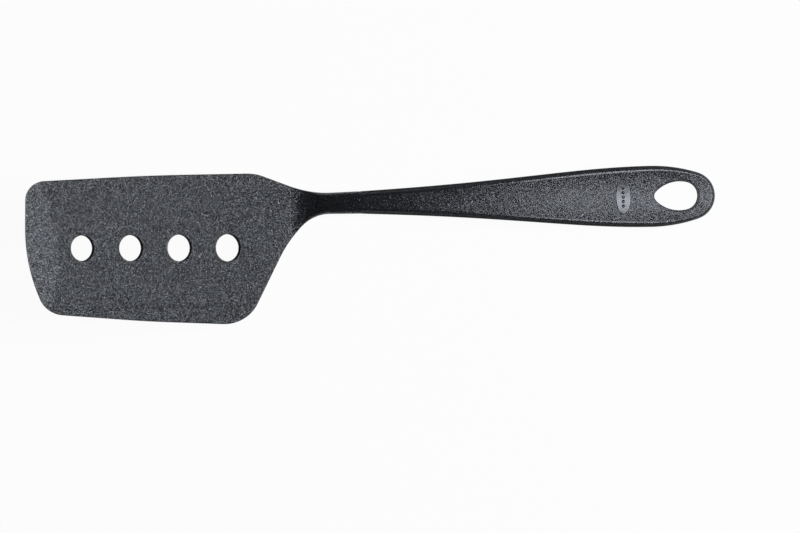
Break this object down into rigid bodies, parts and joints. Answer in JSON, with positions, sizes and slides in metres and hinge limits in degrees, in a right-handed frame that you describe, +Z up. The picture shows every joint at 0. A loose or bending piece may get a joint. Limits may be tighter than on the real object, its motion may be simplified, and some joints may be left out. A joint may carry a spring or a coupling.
{
  "type": "grill spatula",
  "caption": "Moulded nylon grill spatula: a thin offset blade with round drain holes, a cranked neck and a hollow shell handle with an egg-shaped hanging hole.",
  "frame": {"origin": "middle of the footprint, on the table that the spatula lies on, tipped back on its heel and the end of its handle", "axes": "+X along the handle towards the hanging hole, so the blade's front edge points to -X; +Z up, out of the face; the blade's broad side lies to -Y"},
  "size_m": [0.2964, 0.0654, 0.0677],
  "materials": {
    "nylon_blade": "spark-eroded grain",
    "nylon_handle": "spark-eroded grain",
    "nylon_pin": "plain moulded",
    "nylon_badge": "smooth satin"
  },
  "bodies": {
    "root": {"blade_and_tang": "nylon_blade", "handle_back_shell": "nylon_handle", "handle_front_shell": "nylon_handle", "locating_pins": "nylon_pin", "badge_plate": "nylon_badge"}
  },
  "joints": []
}
